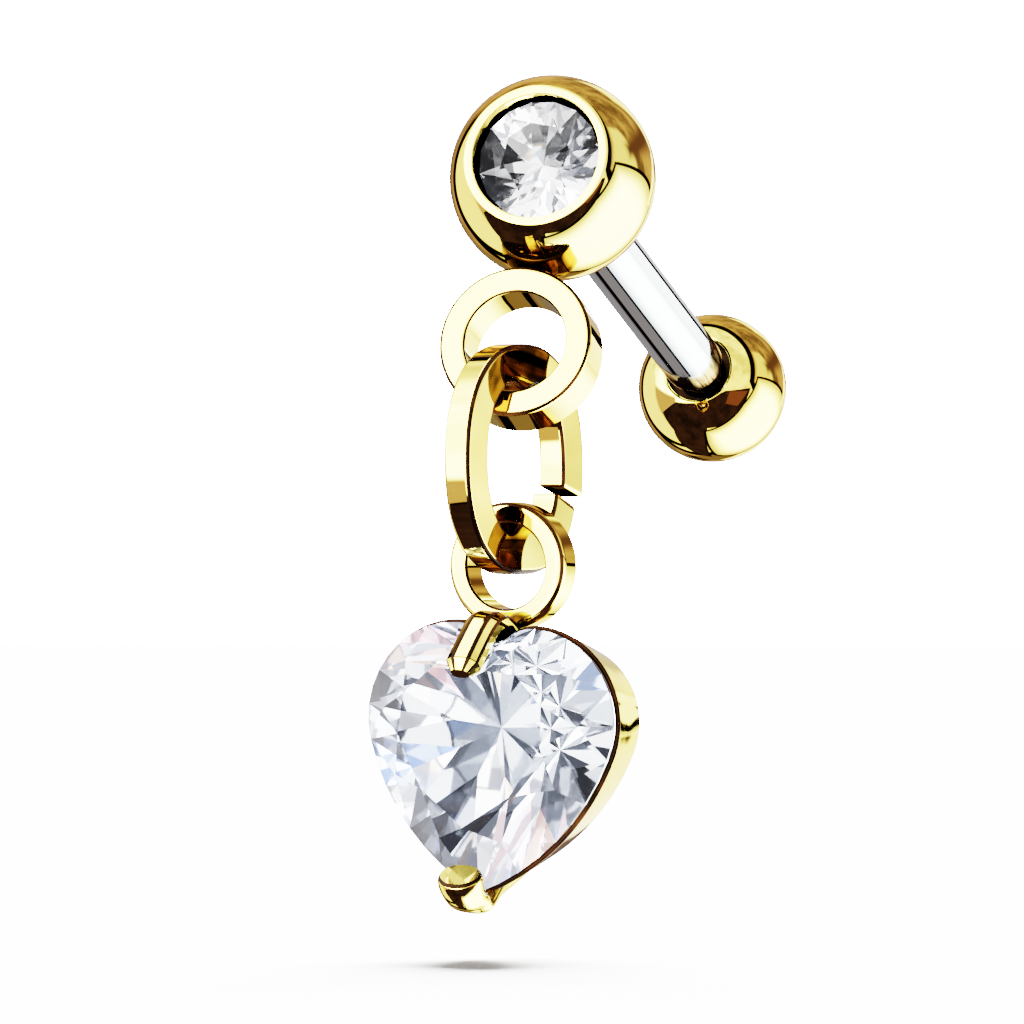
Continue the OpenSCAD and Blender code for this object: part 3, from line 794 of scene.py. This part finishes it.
# the rounds of its section's corners are painted dark, as painted shade and dark outlines along its edges
heart_ring = lathed("heart_ring", ring_profile, "drop", on_ring, segments=192,
                    lines=corner_strips((0, 1), (2, 3)) + corner_strips((2, 3), (1, 2, 3, 4)))
heart_ring.data.materials.append(heart_gold)
heart_ring.data.materials.append(edge_shade)

# Prongs: two claws of gold-plated wire, soldered to the band. They are bent over the stone
# at its cleft and at its point, and hold it on the band.
# Each row is height, depth, the way the claw's top looks in degrees, half width and half thickness.
top_claw = [(1.42, -0.90, 4, 0.30, 0.20), (1.78, -0.20, 4, 0.36, 0.18), (1.92, 0.12, 14, 0.38, 0.17),
            (1.88, 0.44, 30, 0.37, 0.21), (1.70, 0.72, 46, 0.34, 0.23), (1.24, 1.18, 46, 0.34, 0.23),
            (1.05, 1.35, 46, 0.34, 0.23), (0.90, 1.47, 46, 0.19, 0.11)]
tip_claw = [(-2.80, -1.66, 0, 0.28, 0.22), (-3.00, -1.00, 0, 0.31, 0.27), (-3.18, -0.40, 2, 0.33, 0.31),
            (-3.48, 0.02, 0, 0.34, 0.22), (-3.55, 0.22, -4, 0.36, 0.18), (-3.44, 0.43, -12, 0.38, 0.28),
            (-3.36, 0.72, -28, 0.41, 0.33), (-3.20, 0.92, -46, 0.44, 0.36), (-3.04, 1.00, -54, 0.45, 0.36),
            (-2.96, 1.03, -55, 0.40, 0.31)]


def between(rows, count):
    """More rows along a smooth curve through the given ones."""
    table = np.array(rows, float)
    padded = np.vstack([2 * table[0] - table[1], table, 2 * table[-1] - table[-2]])
    out = []
    for i in range(len(table) - 1):
        p0, p1, p2, p3 = padded[i:i + 4]
        for t in np.linspace(0, 1, count, endpoint=False):
            out.append(0.5 * (2 * p1 + (p2 - p0) * t + (2 * p0 - 5 * p1 + 4 * p2 - p3) * t * t
                              + (3 * p1 - p0 - 3 * p2 + p3) * t ** 3))
    return out + [table[-1]]


def claw(name, rows, shift, corners, lines=(), hoops=(), bevelled=False):
    """One prong. A bevelled one ends in a flat slope between its last two rows."""
    grid = []
    shapes = between(rows[:-1], 8) + [rows[-1]] if bevelled else between(rows, 8)
    for y, z, top, wide, thick in shapes:
        a = math.radians(top)
        grid.append([in_heart((shift + u * wide, y + math.cos(a) * v * thick, z + math.sin(a) * v * thick))
                     for u, v in corners])
    made = skinned(name, grid, "drop", loop_rows=False, caps=True, lines=lines, hoops=hoops)
    made.data.materials.append(heart_gold)
    made.data.materials.append(edge_shade)
    return made


# the edge round the end of each prong, and some edges along it, are painted dark, as painted shade and dark
# outlines
claw("top_prong", top_claw, ring_centre[0],
     eased([(1, -0.5, 0.15), (0.5, -1, 0.15), (-0.5, -1, 0.15), (-1, -0.5, 0.15),
            (-1, 0.5, 0.15), (-0.5, 1, 0.15), (0.5, 1, 0.15), (1, 0.5, 0.15)], steps=3),
     lines=corner_strips(range(4, 8), (0, 1, 2), 3), hoops=(47,), bevelled=True)
claw("tip_prong", tip_claw, 0.0,
     eased([(1, -0.3, 0.3), (0.45, -1, 0.4), (-0.45, -1, 0.4), (-1, -0.3, 0.3),
            (-1, 0.4, 0.3), (-0.5, 1, 0.35), (0.5, 1, 0.35), (1, 0.4, 0.3)], steps=4),
     lines=corner_strips((4, 7), (2,), 4), hoops=range(66, 72))

# Heart stone: a heart-shaped brilliant with 12 mains, cut and polished from clear cubic zirconia.
# It sits on the band's bevelled edge, held down by the two prongs.
heart_table, heart_star, heart_lower, culet_y = 0.60, 0.80, 0.34, -0.15
heart_crown, heart_pavilion, heart_girdle, heart_rise = 0.90, 2.15, 0.05, 0.10
heart_star_height, heart_lower_depth = 0.56, 0.70
# painted reflections: each facet under the heart stone is painted its own tone, pale or dark
heart_mains = greys(0.22, 0.6, 0.35, 1.0, 0.28, 0.36, 1.0, 0.40, 0.22, 0.8, 0.22, 0.18, blue=0.15)
heart_lower_tones = greys(1.0, 0.22, 0.5, 0.15, 1.0, 0.30, 0.6, 0.12, 0.06, 0.6, 0.25, 1.0,
                           0.5, 0.15, 1.0, 0.06, 1.0, 0.25, 0.5, 0.10, 1.0, 0.28, 0.12, 1.0, blue=0.15)
# painted fire: a few of them are painted a little colour, like the fire zirconia shows
for facet, fire in ((1, (0.95, 0.72, 0.50)), (5, (0.68, 0.78, 1.0)), (10, (1.0, 0.75, 0.62)),
                    (15, (0.62, 0.72, 0.95)), (19, (0.90, 0.66, 0.70))):
    heart_lower_tones[facet] = fire
heart_girdle_tone = greys(0.25, blue=0.3)[0]


def heart_brilliant():
    """Points and facets of the heart stone, in the same rings as the round one.
    Four steps of its outline make one main's width."""
    rim = heart_outline(0.0, 1)
    edge = len(rim)
    mains = edge // 4

    def toward(p, k, z):
        return (p[0] * k, culet_y + (p[1] - culet_y) * k, z)

    table_z = heart_girdle + heart_crown
    star_z = heart_girdle + heart_crown * heart_star_height
    lower_z = -heart_pavilion * heart_lower_depth
    points = [toward(rim[4 * i], heart_table, table_z) for i in range(mains)]
    points += [toward(rim[4 * i + 2], heart_star, star_z) for i in range(mains)]
    points += [(x, y, heart_girdle) for x, y in rim] + [(x, y, 0.0) for x, y in rim]
    points += [toward(rim[4 * i + 2], heart_lower, lower_z) for i in range(mains)]
    points += [(0, culet_y, -heart_pavilion)]
    star, top, low = mains, 2 * mains, 2 * mains + edge
    lower, culet = low + edge, low + edge + mains
    facets = [(None, [tuple(range(mains))[::-1]])]
    for i in range(mains):
        before = (i - 1) % mains
        here = 4 * i
        facets += [(None, [(i, (i + 1) % mains, star + i)]),
                   (None, [(i, star + i, top + here), (i, top + here, star + before)]),
                   (heart_mains[i], [(culet, low + here, lower + i), (culet, lower + before, low + here)])]
        for half in (0, 1):
            steps = [(here + 2 * half + j, (here + 2 * half + j + 1) % edge) for j in (0, 1)]
            facet_tone = heart_lower_tones[2 * i + half]
            facets += [(None, [(star + i, top + after, top + j) for j, after in steps]),
                       (facet_tone, [(lower + i, low + j, low + after) for j, after in steps])]
    for i in range(edge):
        after = (i + 1) % edge
        facets.append((heart_girdle_tone, [(top + i, top + after, low + after, low + i)]))
    return points, facets


def in_band(point):
    """From the heart stone's girdle plane to its place on the band."""
    x, y, z = point
    return in_heart((x, y, z + heart_rise))


points, facets = heart_brilliant()
heart_stone = cut_stone("heart_brilliant", points, facets, "drop", in_band)
heart_stone.data.materials.append(clear_crystal("heart_crystal", 2.0))
heart_stone.data.materials.append(painted_pavilion("heart_pavilion_paint", 0.04, (0.85, 0.88, 1.0)))
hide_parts("heart_stone")
